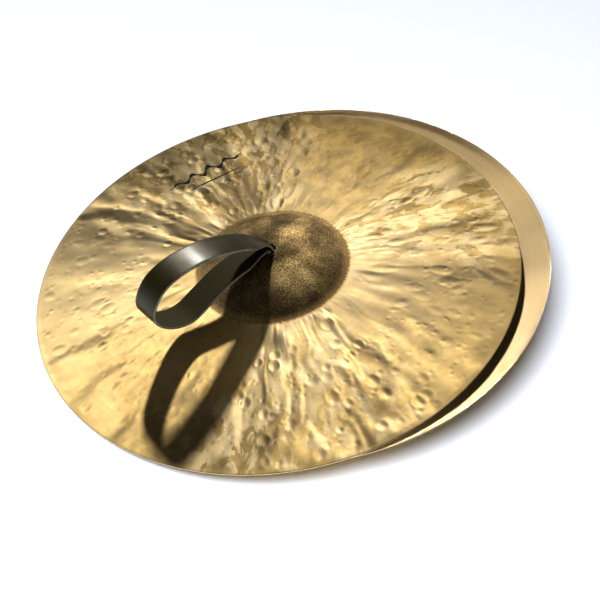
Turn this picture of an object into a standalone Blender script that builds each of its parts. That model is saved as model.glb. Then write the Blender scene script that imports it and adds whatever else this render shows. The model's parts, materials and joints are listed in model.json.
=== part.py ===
"""A pair of 18 inch orchestral hand cymbals, lying face to face.

The lower (rear) cymbal lies bell down on the bundle of its own leather strap. The upper (front)
cymbal lies bell up on the rim of the lower one, shifted a little to one side, and the pair leans
until the upper cymbal's rim meets the floor on that side.
Each cymbal carries a leather strap: a hand loop outside the bell, a throat through the centre hole,
and a four-thong square knot inside the bell.

Every cymbal and strap is modelled in a frame of its own: the rim plane at z = 0, the bell towards +Z
and the hole on the Z axis. Two empties carry those frames to their places.
Metres, +Z up, origin on the floor below the middle of the whole pair.
"""

import math

import bmesh
import bpy
from mathutils import Matrix, Vector

# ---- cymbal ----
CYMBAL_RADIUS = 0.2286  # 18 inch
HOLE_RADIUS = 0.0065
BELL_RADIUS = 0.0700
RIM_THICKNESS = 0.0009
BOW_THICKNESS = 0.0012
BELL_THICKNESS = 0.0014
BOW_HEIGHT = 0.0220  # rise of the outer surface from the rim to the foot of the bell
BELL_HEIGHT = 0.0230  # rise of the bell above its foot
BOW_POWER = 1.35
BELL_POWER = 2.3
FOOT_BLEND = 0.0040  # half width of the fillet between bell and bow
CYMBAL_STEPS = 60

# ---- leather strap ----
STRAP_WIDTH = 0.0286
STRAP_THICKNESS = 0.0023
NECK_WIDTH = 0.0100
NECK_LENGTH = 0.0340  # the strap narrows over this distance to its neck
NOSE_RADIUS = 0.0016  # middle line of the turn at the root of the loop
GAP = 0.0003

# ---- throat and knot ----
THROAT_SIDE = 0.0086
FRONT_STUB = 0.0020  # throat above the front bell
FLOOR_STUB = 0.0060  # throat between the rear bell and the floor, on the axis
PAD_SIDE = 0.0230
PAD_THICKNESS = 0.0022
PAD_CLEARANCE = 0.0012  # pad to the bell's inside, on the axis
THONG_WIDTH = 0.0090
THONG_THICKNESS = 0.0022
THONG_OFFSET = 0.0070  # sideways from the axis to a thong's middle line

# ---- how the pair lies ----
PAIR_OFFSET = 0.0280  # front cymbal shifted towards -X against the rear one
CONTACT_GAP = 0.00035
FRONT_STRAP_AZIMUTH = math.radians(203.4)
REAR_STRAP_AZIMUTH = math.radians(180.0)  # towards +X of the room, the cymbal being upside down


# ---------------------------------------------------------------- helpers
def clear_scene():
    for old in list(bpy.data.objects):
        bpy.data.objects.remove(old, do_unlink=True)


def material(name, colour, roughness, metallic):
    made = bpy.data.materials.new(name)
    made.use_nodes = True
    shader = made.node_tree.nodes["Principled BSDF"]
    shader.inputs["Base Color"].default_value = (*colour, 1.0)
    shader.inputs["Roughness"].default_value = roughness
    shader.inputs["Metallic"].default_value = metallic
    made.diffuse_color = (*colour, 1.0)
    return made


def collection(name):
    made = bpy.data.collections.new(name)
    bpy.context.scene.collection.children.link(made)
    return made


def empty(name, matrix, parent=None):
    made = bpy.data.objects.new(name, None)
    made.empty_display_size = 0.03
    PARTS.objects.link(made)
    made.parent = parent
    made.matrix_local = matrix
    return made


def mesh_object(name, bm, parent, finish, matrix=None):
    mesh = bpy.data.meshes.new(name)
    bm.to_mesh(mesh)
    bm.free()
    mesh.materials.append(finish)
    made = bpy.data.objects.new(name, mesh)
    PARTS.objects.link(made)
    made.parent = parent
    made.matrix_local = matrix or Matrix.Identity(4)
    return made


def smooth(obj, degrees=40):
    obj.data.shade_smooth()
    obj.data.set_sharp_from_angle(angle=math.radians(degrees))


def ease(value):
    value = min(max(value, 0.0), 1.0)
    return value * value * (3.0 - 2.0 * value)


# ---------------------------------------------------------------- the cymbal's surfaces
def raw_outer(r):
    if r >= BELL_RADIUS:
        part = min((r - BELL_RADIUS) / (CYMBAL_RADIUS - BELL_RADIUS), 1.0)
        return RIM_THICKNESS + BOW_HEIGHT * (1.0 - part**BOW_POWER)
    return (
        RIM_THICKNESS
        + BOW_HEIGHT
        + BELL_HEIGHT * (1.0 - (max(r, 0.0) / BELL_RADIUS) ** BELL_POWER)
    )


def outer_height(r):
    """Height of the outer surface, with the fillet at the bell's foot."""
    low, high = BELL_RADIUS - FOOT_BLEND, BELL_RADIUS + FOOT_BLEND
    if not low < r < high:
        return raw_outer(r)
    step = 1e-5
    z0, z1 = raw_outer(low), raw_outer(high)
    slope0 = (raw_outer(low) - raw_outer(low - step)) / step
    slope1 = (raw_outer(high + step) - raw_outer(high)) / step
    t, span = (r - low) / (high - low), high - low
    return (
        (2 * t**3 - 3 * t**2 + 1) * z0
        + (t**3 - 2 * t**2 + t) * span * slope0
        + (-2 * t**3 + 3 * t**2) * z1
        + (t**3 - t**2) * span * slope1
    )


def thickness(r):
    if r < BELL_RADIUS:
        return BELL_THICKNESS + (BOW_THICKNESS - BELL_THICKNESS) * ease(r / BELL_RADIUS)
    part = (r - BELL_RADIUS) / (CYMBAL_RADIUS - BELL_RADIUS)
    return BOW_THICKNESS + (RIM_THICKNESS - BOW_THICKNESS) * part


def inner_height(r):
    return outer_height(r) - thickness(r)


APEX = outer_height(HOLE_RADIUS)  # outer surface at the hole's edge


def profile_radii():
    """Closer together where the surface turns faster."""
    radii = [HOLE_RADIUS]
    bell = 6
    for i in range(1, bell + 1):
        part = i / bell
        radii.append(HOLE_RADIUS + (BELL_RADIUS - FOOT_BLEND - HOLE_RADIUS) * part**0.85)
    radii.append(BELL_RADIUS)
    radii.append(BELL_RADIUS + FOOT_BLEND)
    bow = 6
    for i in range(1, bow + 1):
        radii.append(
            BELL_RADIUS + FOOT_BLEND + (CYMBAL_RADIUS - BELL_RADIUS - FOOT_BLEND) * i / bow
        )
    return radii


def make_cymbal(name, parent, finish):
    """A turned plate: the profile's outer side runs from the hole down to the rim, then back inside."""
    radii = profile_radii()
    outline = [(r, outer_height(r)) for r in radii]
    outline += [(r, inner_height(r)) for r in reversed(radii)]
    bm = bmesh.new()
    points = [bm.verts.new((r, 0.0, z)) for r, z in outline]
    for i, point in enumerate(points):
        bm.edges.new((point, points[(i + 1) % len(points)]))
    made = mesh_object(name, bm, parent, finish)
    screw = made.modifiers.new("turn", "SCREW")
    screw.axis = "Z"
    screw.angle = 2 * math.pi
    screw.steps = screw.render_steps = CYMBAL_STEPS
    screw.use_merge_vertices = True
    screw.merge_threshold = 0.00002
    screw.use_smooth_shade = True
    screw.use_normal_calculate = False
    return made


# ---------------------------------------------------------------- the strap
def catmull_rom(points, closed_from, per_segment):
    """A smooth line through points; the stretch up to closed_from is kept as it is."""
    line = []
    count = len(points)
    for i in range(count):
        p0, p1 = points[(i - 1) % count], points[i]
        p2, p3 = points[(i + 1) % count], points[(i + 2) % count]
        line.append(p1)
        if i < closed_from:
            continue
        for j in range(1, per_segment):
            t = j / per_segment
            line.append(
                0.5
                * (
                    2 * p1
                    + (p2 - p0) * t
                    + (2 * p0 - 5 * p1 + 4 * p2 - p3) * t * t
                    + (3 * p1 - p0 - 3 * p2 + p3) * t**3
                )
            )
    return line


def loop_line(hinge, upper_angle, lower_angle, legs):
    """The loop's middle line, in the plane of the loop.

    It turns round the hinge from the lower leg's side to the upper leg's side, then follows legs
    (upper leg, tip, lower leg) back to the hinge.
    """
    start = lower_angle - math.pi / 2
    stop = upper_angle + math.pi / 2 - 2 * math.pi
    turn = []
    steps = 7
    for i in range(steps):
        angle = start + (stop - start) * i / (steps - 1)
        turn.append(
            Vector((hinge[0], hinge[1]))
            + NOSE_RADIUS * Vector((math.cos(angle), math.sin(angle)))
        )
    return catmull_rom(turn + [Vector(p) for p in legs], steps - 1, 3)


def strap_width(distance):
    return NECK_WIDTH + (STRAP_WIDTH - NECK_WIDTH) * ease(distance / NECK_LENGTH)


def make_loop(name, parent, finish, hinge, line):
    """A closed leather band. Its own frame: x outward from the hole, z along the bell's axis, y across."""
    bm = bmesh.new()
    ring = []
    for point in line:
        x, z = point.x - hinge[0], point.y - hinge[1]
        ring.append((bm.verts.new((x, 0.5 * strap_width(math.hypot(x, z)), z))))
    edges = [
        bm.edges.new((ring[i], ring[(i + 1) % len(ring)])) for i in range(len(ring))
    ]
    pushed = bmesh.ops.extrude_edge_only(bm, edges=edges)["geom"]
    for vert in pushed:
        if isinstance(vert, bmesh.types.BMVert):
            vert.co.y = -vert.co.y
    bmesh.ops.recalc_face_normals(bm, faces=bm.faces)
    made = mesh_object(name, bm, parent, finish)
    shell = made.modifiers.new("leather", "SOLIDIFY")
    shell.thickness = STRAP_THICKNESS
    shell.offset = 0.0
    shell.use_even_offset = True
    smooth(made)
    return made


def rounded_square(side, corner, segments=3):
    """Outline points of a square with rounded corners, centred on the axis."""
    points = []
    for quarter in range(4):
        for step in range(segments + 1):
            angle = (quarter + step / segments) * math.pi / 2
            centre = (quarter + 0.5) * math.pi / 2
            reach = (side / 2 - corner) * math.sqrt(2)
            points.append(
                (
                    reach * math.cos(centre) + corner * math.cos(angle),
                    reach * math.sin(centre) + corner * math.sin(angle),
                )
            )
    return points


def make_throat(name, parent, finish, end_z, floor=None):
    """The folded pad of the knot and the square throat that rises from it through the hole to end_z.

    floor, a (normal, distance) pair in the throat's frame, cuts the far end parallel to the floor.
    """
    pad_top = inner_height(HOLE_RADIUS) - PAD_CLEARANCE
    pad, bar = rounded_square(PAD_SIDE, 0.0020), rounded_square(THROAT_SIDE, 0.0010)
    bm = bmesh.new()
    rings = []
    for outline, z in ((pad, pad_top - PAD_THICKNESS), (pad, pad_top), (bar, pad_top), (bar, end_z)):
        ring = [bm.verts.new((x, y, z)) for x, y in outline]
        rings.append(ring)
    if floor:
        normal, distance = floor
        for vert in rings[-1]:
            vert.co.z = (distance - normal.x * vert.co.x - normal.y * vert.co.y) / normal.z
    count = len(pad)
    for low, high in zip(rings, rings[1:]):
        for i in range(count):
            j = (i + 1) % count
            bm.faces.new((low[i], low[j], high[j], high[i]))
    bm.faces.new(rings[-1])
    bm.faces.new(rings[0][::-1])
    bmesh.ops.recalc_face_normals(bm, faces=bm.faces)
    made = mesh_object(name, bm, parent, finish)
    smooth(made, 30)
    return made


def make_thong(name, parent, finish, quarter):
    """One of four tails of the square knot: it folds up from the pad's edge, passes under one
    neighbour and over the next, and runs out along the inside of the bell."""
    pad_bottom = inner_height(HOLE_RADIUS) - PAD_CLEARANCE - PAD_THICKNESS
    half, low = PAD_SIDE / 2, GAP + THONG_THICKNESS / 2
    high = low + THONG_THICKNESS + GAP
    back = -(half + 0.0004 + THONG_THICKNESS / 2)
    free = THONG_OFFSET - THONG_WIDTH / 2
    path = [
        (back, -0.0016),
        (back, 0.0001),
        (back + 0.0005, low - 0.0002),
        (back + 0.0014, low),
        (-free + 0.0006, low),
        (free - 0.0006, high),
        (half + 0.0010, high),
    ]
    reach = 0.040
    steps = 6
    for i in range(1, steps + 1):
        t = i / steps
        path.append((half + 0.0010 + reach * t, high + 0.0105 * t**1.6))
    bm = bmesh.new()
    line = [
        bm.verts.new((a, THONG_OFFSET - THONG_WIDTH / 2, pad_bottom - q)) for a, q in path
    ]
    edges = [bm.edges.new((line[i], line[i + 1])) for i in range(len(line) - 1)]
    pushed = bmesh.ops.extrude_edge_only(bm, edges=edges)["geom"]
    tail = path[-1][0]
    for vert in pushed:
        if isinstance(vert, bmesh.types.BMVert):
            vert.co.y = THONG_OFFSET + THONG_WIDTH / 2
    for vert in bm.verts:  # the tail is trimmed to a blunt point
        if vert.co.x > tail - 1e-5:
            vert.co.y = THONG_OFFSET + (vert.co.y - THONG_OFFSET) * 0.55
    bmesh.ops.recalc_face_normals(bm, faces=bm.faces)
    made = mesh_object(name, bm, parent, finish, Matrix.Rotation(math.pi / 2 * quarter, 4, "Z"))
    shell = made.modifiers.new("leather", "SOLIDIFY")
    shell.thickness = THONG_THICKNESS
    shell.offset = 0.0
    shell.use_even_offset = True
    smooth(made)
    return made


# ---------------------------------------------------------------- where the two cymbals lie
def settle(tilt):
    """How far the front cymbal's rim centre lies above the rear's rim plane, the rims just clear.

    Both frames here have z away from the rear cymbal's bell; the front one is shifted and tilted.
    """
    place = Matrix.Translation((-PAIR_OFFSET, 0, 0)) @ Matrix.Rotation(-tilt, 4, "Y")
    back = place.inverted()
    need = -1.0
    for i in range(720):
        angle = 2 * math.pi * i / 720
        rim = Vector((CYMBAL_RADIUS * math.cos(angle), CYMBAL_RADIUS * math.sin(angle), 0))
        seen = back @ rim  # the rear rim in the front cymbal's frame
        r = math.hypot(seen.x, seen.y)
        if HOLE_RADIUS < r <= CYMBAL_RADIUS:
            need = max(need, seen.z - inner_height(r))
        seen = place @ rim  # the front rim in the rear cymbal's frame
        r = math.hypot(seen.x, seen.y)
        if HOLE_RADIUS < r <= CYMBAL_RADIUS:
            need = max(need, -inner_height(r) - seen.z)
    return need + CONTACT_GAP


def resting_tilt():
    """The -X side of the front cymbal sinks until its inside meets the rear rim: where it lies lowest."""
    return min((math.radians(0.5 + 0.01 * i) for i in range(200)), key=settle)


def lean_angle(tilt, rise):
    """The pair stands on the end of the rear throat and on the front cymbal's low rim."""
    reach = PAIR_OFFSET + CYMBAL_RADIUS * math.cos(tilt)
    drop = CYMBAL_RADIUS * math.sin(tilt) - rise
    low, high = 0.0, math.radians(30)
    for _ in range(60):
        angle = (low + high) / 2
        if FLOOR_STUB + (APEX - drop) * math.cos(angle) > reach * math.sin(angle):
            low = angle
        else:
            high = angle
    return (low + high) / 2


clear_scene()
PARTS = collection("hand_cymbals")

bronze = material("turned_bronze", (0.72, 0.52, 0.24), 0.28, 1.0)
leather = material("black_leather", (0.022, 0.020, 0.018), 0.45, 0.0)

FRONT_TILT = resting_tilt()
RISE = settle(FRONT_TILT)
LEAN = lean_angle(FRONT_TILT, RISE)

# The room's frame, before it is moved to the middle of the pair: origin below the rear hole.
origin = empty("origin", Matrix.Identity(4))
rear_axis = Vector((-math.sin(LEAN), 0, math.cos(LEAN)))  # from bell to rim plane
rim_centre = Vector((0, 0, FLOOR_STUB)) + rear_axis * APEX
upright = Matrix.Translation(rim_centre) @ Matrix.Rotation(-LEAN, 4, "Y")

rear = empty("rear_frame", upright @ Matrix.Rotation(math.pi, 4, "Y"), origin)
front = empty(
    "front_frame",
    upright
    @ Matrix.Translation((-PAIR_OFFSET, 0, RISE))
    @ Matrix.Rotation(-FRONT_TILT, 4, "Y"),
    origin,
)

make_cymbal("rear_cymbal", rear, bronze)
make_cymbal("front_cymbal", front, bronze)

# ---- knots: swivel on the cymbals' axes ----
rear_knot = empty("rear_knot_swivel", Matrix.Rotation(REAR_STRAP_AZIMUTH, 4, "Z"), rear)
front_knot = empty("front_knot_swivel", Matrix.Rotation(FRONT_STRAP_AZIMUTH, 4, "Z"), front)
# The floor in the rear knot's frame: x points up the lean, z points down at the floor.
floor_normal = Vector((-math.sin(LEAN), 0, math.cos(LEAN)))
floor_distance = floor_normal.z * APEX + FLOOR_STUB
make_throat("rear_strap_throat", rear_knot, leather, APEX, (floor_normal, floor_distance))
make_throat("front_strap_throat", front_knot, leather, APEX + FRONT_STUB)
for side, knot in (("rear", rear_knot), ("front", front_knot)):
    for quarter in range(4):
        make_thong(f"{side}_thong_{quarter + 1}", knot, leather, quarter)

# ---- hand loops: tilt on hinges at the holes' mouths ----
nose = NOSE_RADIUS + STRAP_THICKNESS / 2
front_hinge = (0.0, APEX + FRONT_STUB + GAP + nose)
front_legs = [
    (0.0090, front_hinge[1] + 0.0095),
    (0.0210, APEX + 0.0255),
    (0.0360, APEX + 0.0350),
    (0.0590, APEX + 0.0455),
    (0.0790, APEX + 0.0500),
    (0.1000, APEX + 0.0512),
    (0.1180, APEX + 0.0470),
    (0.1290, APEX + 0.0380),
    (0.1353, APEX + 0.0270),
    (0.1355, APEX + 0.0170),
    (0.1300, APEX + 0.0075),
    (0.1210, APEX - 0.0010),
    (0.1090, APEX - 0.0070),
    (0.0960, APEX - 0.0083),
    (0.0770, APEX - 0.0022),
    (0.0560, APEX + 0.0045),
    (0.0380, APEX + 0.0068),
    (0.0200, APEX + 0.0062),
    (0.0090, APEX + 0.0045),
]
front_hinge_frame = empty(
    "front_loop_hinge", Matrix.Translation((front_hinge[0], 0, front_hinge[1])), front_knot
)
make_loop(
    "front_strap_loop",
    front_hinge_frame,
    leather,
    front_hinge,
    loop_line(front_hinge, math.radians(50), math.radians(-4), front_legs),
)


def from_floor(x, z):
    """A point x from the rear hole along the floor and z above it, in the rear knot's frame."""
    dz = z - FLOOR_STUB
    return (
        x * math.cos(LEAN) + dz * math.sin(LEAN),
        APEX + x * math.sin(LEAN) - dz * math.cos(LEAN),
    )


lie = 0.0005 + STRAP_THICKNESS / 2  # middle line of the leg that lies on the floor
rear_hinge = from_floor(THROAT_SIDE / 2 + GAP + nose + 0.0004, nose + GAP)
rear_legs = [
    from_floor(0.018, lie),
    from_floor(0.045, lie),
    from_floor(0.075, lie),
    from_floor(0.105, lie),
    from_floor(0.124, 0.0042),
    from_floor(0.137, 0.0120),
    from_floor(0.1405, 0.0225),
    from_floor(0.1350, 0.0320),
    from_floor(0.1210, 0.0390),
    from_floor(0.1020, 0.0405),
    from_floor(0.0800, 0.0350),
    from_floor(0.0600, 0.0260),
    from_floor(0.0400, 0.0155),
    from_floor(0.0240, 0.0085),
    from_floor(0.0145, 0.0062),
]
rear_hinge_frame = empty(
    "rear_loop_hinge", Matrix.Translation((rear_hinge[0], 0, rear_hinge[1])), rear_knot
)
make_loop(
    "rear_strap_loop",
    rear_hinge_frame,
    leather,
    rear_hinge,
    loop_line(
        rear_hinge, LEAN + math.radians(2), LEAN - math.radians(16), rear_legs
    ),
)

# ---- the origin goes on the floor below the middle of the pair ----
bpy.context.view_layer.update()
graph = bpy.context.evaluated_depsgraph_get()
low_x, high_x = 1e9, -1e9
for obj in PARTS.objects:
    if obj.type != "MESH":
        continue
    seen = obj.evaluated_get(graph)
    mesh = seen.to_mesh()
    for vert in mesh.vertices:
        x = (seen.matrix_world @ vert.co).x
        low_x, high_x = min(low_x, x), max(high_x, x)
    seen.to_mesh_clear()
origin.location.x = -(low_x + high_x) / 2
bpy.context.view_layer.update()
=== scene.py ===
import json
import math

import bpy
import numpy as np
from mathutils import Matrix, Vector


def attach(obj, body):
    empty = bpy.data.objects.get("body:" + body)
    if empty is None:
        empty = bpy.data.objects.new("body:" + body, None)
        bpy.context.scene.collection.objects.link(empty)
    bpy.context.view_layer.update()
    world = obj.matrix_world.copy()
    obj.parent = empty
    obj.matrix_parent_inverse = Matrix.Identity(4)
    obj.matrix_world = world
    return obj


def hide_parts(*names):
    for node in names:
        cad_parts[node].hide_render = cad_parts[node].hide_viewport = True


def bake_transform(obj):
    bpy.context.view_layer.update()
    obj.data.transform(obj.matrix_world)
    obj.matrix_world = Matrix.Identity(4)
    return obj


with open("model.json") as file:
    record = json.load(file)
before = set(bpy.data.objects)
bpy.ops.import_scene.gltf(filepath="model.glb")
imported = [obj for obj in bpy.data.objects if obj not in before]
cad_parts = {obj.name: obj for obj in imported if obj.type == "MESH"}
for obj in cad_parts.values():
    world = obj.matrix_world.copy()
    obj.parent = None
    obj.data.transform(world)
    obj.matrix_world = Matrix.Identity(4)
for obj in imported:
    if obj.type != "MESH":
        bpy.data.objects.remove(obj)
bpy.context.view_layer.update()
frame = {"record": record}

MM = 0.001
# ---------------------------------------------------------------- the object's dimensions, as in the CAD
R = 0.2286
HOLE = 0.0065
BELL_R = 0.0700
T_RIM, T_BOW, T_BELL = 0.0009, 0.0012, 0.0014
BOW_H, BELL_H = 0.0220, 0.0230
BOW_P, BELL_P = 1.35, 2.3
FOOT = 0.0040
STRAP_W, STRAP_T, NECK_W = 0.0286, 0.0023, 0.0098


def smoothstep(x):
    x = np.clip(x, 0.0, 1.0)
    return x * x * (3.0 - 2.0 * x)


def raw_outer(r):
    r = np.asarray(r, float)
    bow = T_RIM + BOW_H * (1.0 - np.clip((r - BELL_R) / (R - BELL_R), 0, 1) ** BOW_P)
    bell = T_RIM + BOW_H + BELL_H * (1.0 - np.clip(r / BELL_R, 0, 1) ** BELL_P)
    return np.where(r >= BELL_R, bow, bell)


def outer(r):
    r = np.asarray(r, float)
    a, b, e = BELL_R - FOOT, BELL_R + FOOT, 1e-5
    za, zb = raw_outer(a), raw_outer(b)
    sa = (raw_outer(a) - raw_outer(a - e)) / e
    sb = (raw_outer(b + e) - raw_outer(b)) / e
    t, w = (r - a) / (b - a), b - a
    fillet = (
        (2 * t**3 - 3 * t**2 + 1) * za + (t**3 - 2 * t**2 + t) * w * sa
        + (-2 * t**3 + 3 * t**2) * zb + (t**3 - t**2) * w * sb
    )
    return np.where((r > a) & (r < b), fillet, raw_outer(r))


def thick(r):
    r = np.asarray(r, float)
    bell = T_BELL + (T_BOW - T_BELL) * smoothstep(r / BELL_R)
    return np.where(r < BELL_R, bell, T_BOW + (T_RIM - T_BOW) * (r - BELL_R) / (R - BELL_R))


def inner(r):
    return outer(r) - thick(r)


APEX = float(outer(HOLE))

# ---------------------------------------------------------------- frames of the moving bodies
JOINT = {j["name"]: j for j in frame["record"]["behaviour"]["joints"]}


def cymbal_frame(joint, towards_x):
    """The cymbal's own frame: hole on the z axis, rim plane at z = 0, bell towards +z."""
    hole = Vector(joint["pos_m"])
    out = Vector(joint["axis"]).normalized() * towards_x
    x = Vector((0, 1, 0)).cross(out).normalized()
    m = Matrix((x, Vector((0, 1, 0)), out)).transposed().to_4x4()
    m.translation = hole - out * APEX
    return m


FRONT = cymbal_frame(JOINT["front_strap_swivel"], 1.0)
REAR = cymbal_frame(JOINT["rear_strap_swivel"], -1.0)


def strap_frame(cymbal, tilt_joint, up):
    """x outward along the strap, y across it, z out of the bell, origin at the hole's mouth."""
    axis = Vector(tilt_joint["axis"]).normalized()
    x = up.cross(axis).normalized()
    m = Matrix((x, up.cross(x).normalized(), up)).transposed().to_4x4()
    m.translation = cymbal @ Vector((0, 0, APEX))
    return m


FRONT_UP = Vector(JOINT["front_strap_swivel"]["axis"]).normalized()
REAR_UP = -Vector(JOINT["rear_strap_swivel"]["axis"]).normalized()
FRONT_STRAP = strap_frame(FRONT, JOINT["front_strap_tilt"], FRONT_UP)
REAR_STRAP = strap_frame(REAR, JOINT["rear_strap_tilt"], REAR_UP)


# ---------------------------------------------------------------- node helper
class Nodes:
    def __init__(self, name):
        self.mat = bpy.data.materials.new(name)
        self.mat.use_nodes = True
        self.tree = self.mat.node_tree
        self.tree.nodes.clear()
        self.out = self.tree.nodes.new("ShaderNodeOutputMaterial")

    def new(self, kind, **settings):
        node = self.tree.nodes.new("ShaderNode" + kind)
        for key, value in settings.items():
            setattr(node, key, value)
        return node

    def put(self, socket, value):
        if isinstance(value, bpy.types.NodeSocket):
            self.tree.links.new(value, socket)
        elif value is not None:
            socket.default_value = value

    def math(self, op, a, b=None, c=None, clamp=False):
        node = self.new("Math", operation=op, use_clamp=clamp)
        for socket, value in zip(node.inputs, (a, b, c)):
            self.put(socket, value)
        return node.outputs[0]

    def vec(self, op, a, b=None):
        node = self.new("VectorMath", operation=op)
        self.put(node.inputs[0], a)
        if b is not None:
            self.put(node.inputs[3 if op == "SCALE" else 1], b)
        return node.outputs["Value" if op in ("LENGTH", "DOT_PRODUCT") else "Vector"]

    def xyz(self, x, y, z):
        node = self.new("CombineXYZ")
        for socket, value in zip(node.inputs, (x, y, z)):
            self.put(socket, value)
        return node.outputs[0]

    def noise(self, vector, scale, detail=3.0, rough=0.5, distortion=0.0, dims="3D", w=None):
        node = self.new("TexNoise", noise_dimensions=dims)
        if dims != "1D":
            self.put(node.inputs["Vector"], vector)
        if w is not None:
            self.put(node.inputs["W"], w)
        self.put(node.inputs["Scale"], scale)
        self.put(node.inputs["Detail"], detail)
        self.put(node.inputs["Roughness"], rough)
        self.put(node.inputs["Distortion"], distortion)
        return node.outputs["Fac"]

    def voronoi(self, vector, scale, feature="F1", out="Distance", rand=1.0):
        node = self.new("TexVoronoi", feature=feature)
        self.put(node.inputs["Vector"], vector)
        self.put(node.inputs["Scale"], scale)
        self.put(node.inputs["Randomness"], rand)
        return node.outputs[out]

    def ramp(self, fac, stops, mode="LINEAR"):
        node = self.new("ValToRGB")
        node.color_ramp.interpolation = mode
        elements = node.color_ramp.elements
        while len(elements) < len(stops):
            elements.new(0.5)
        for element, (at, colour) in zip(elements, stops):
            element.position = at
            element.color = (*colour, 1.0) if len(colour) == 3 else colour
        self.put(node.inputs["Fac"], fac)
        return node.outputs["Color"]

    def mix(self, fac, a, b, blend="MIX"):
        node = self.new("Mix", data_type="RGBA", blend_type=blend, clamp_factor=True)
        self.put(node.inputs["Factor"], fac)
        self.put(node.inputs["A"], a if not isinstance(a, tuple) or len(a) == 4 else (*a, 1.0))
        self.put(node.inputs["B"], b if not isinstance(b, tuple) or len(b) == 4 else (*b, 1.0))
        return node.outputs["Result"]

    def span(self, value, low, high, to_low=0.0, to_high=1.0, smooth=True):
        node = self.new("MapRange", interpolation_type="SMOOTHSTEP" if smooth else "LINEAR")
        self.put(node.inputs["Value"], value)
        for key, number in (("From Min", low), ("From Max", high), ("To Min", to_low), ("To Max", to_high)):
            self.put(node.inputs[key], number)
        return node.outputs["Result"]

    def bump(self, height, strength, distance, normal=None):
        node = self.new("Bump")
        self.put(node.inputs["Strength"], strength)
        self.put(node.inputs["Distance"], distance)
        self.put(node.inputs["Height"], height)
        if normal is not None:
            self.put(node.inputs["Normal"], normal)
        return node.outputs["Normal"]

    def shader(self, **values):
        node = self.new("BsdfPrincipled")
        for key, value in values.items():
            name = key.replace("_", " ")
            if isinstance(value, tuple) and len(value) == 3 and name not in ("Normal", "Tangent"):
                value = (*value, 1.0)
            self.put(node.inputs[name], value)
        self.tree.links.new(node.outputs[0], self.out.inputs["Surface"])
        return node


def polar(n):
    """(position in the plate's own frame, its three parts, radius in m, unit vector away from the axis)."""
    where = n.new("Attribute", attribute_name="own_place").outputs["Vector"]
    split = n.new("SeparateXYZ")
    n.put(split.inputs[0], where)
    radius = n.vec("LENGTH", n.xyz(split.outputs[0], split.outputs[1], 0.0))
    unit = n.vec("NORMALIZE", n.xyz(split.outputs[0], split.outputs[1], 0.0))
    return where, split, radius, unit


def radial_tangent(n, split, place):
    """Outward along the plate, in world space, whatever pose the plate is in."""
    x_axis, y_axis = (tuple(place.to_3x3().col[k]) for k in (0, 1))
    out = n.vec(
        "ADD",
        n.vec("SCALE", n.xyz(*x_axis), split.outputs[0]),
        n.vec("SCALE", n.xyz(*y_axis), split.outputs[1]),
    )
    turned = n.new("VectorTransform", vector_type="VECTOR", convert_from="OBJECT", convert_to="WORLD")
    n.put(turned.inputs[0], n.vec("NORMALIZE", out))
    return turned.outputs[0]


# ---------------------------------------------------------------- bronze
# Two painted highlight spots on the bell: (x, y, size) in metres.
BELL_HIGHLIGHT_SPOTS = ((0.024, 0.006, 0.024), (0.015, -0.038, 0.028))


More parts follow.
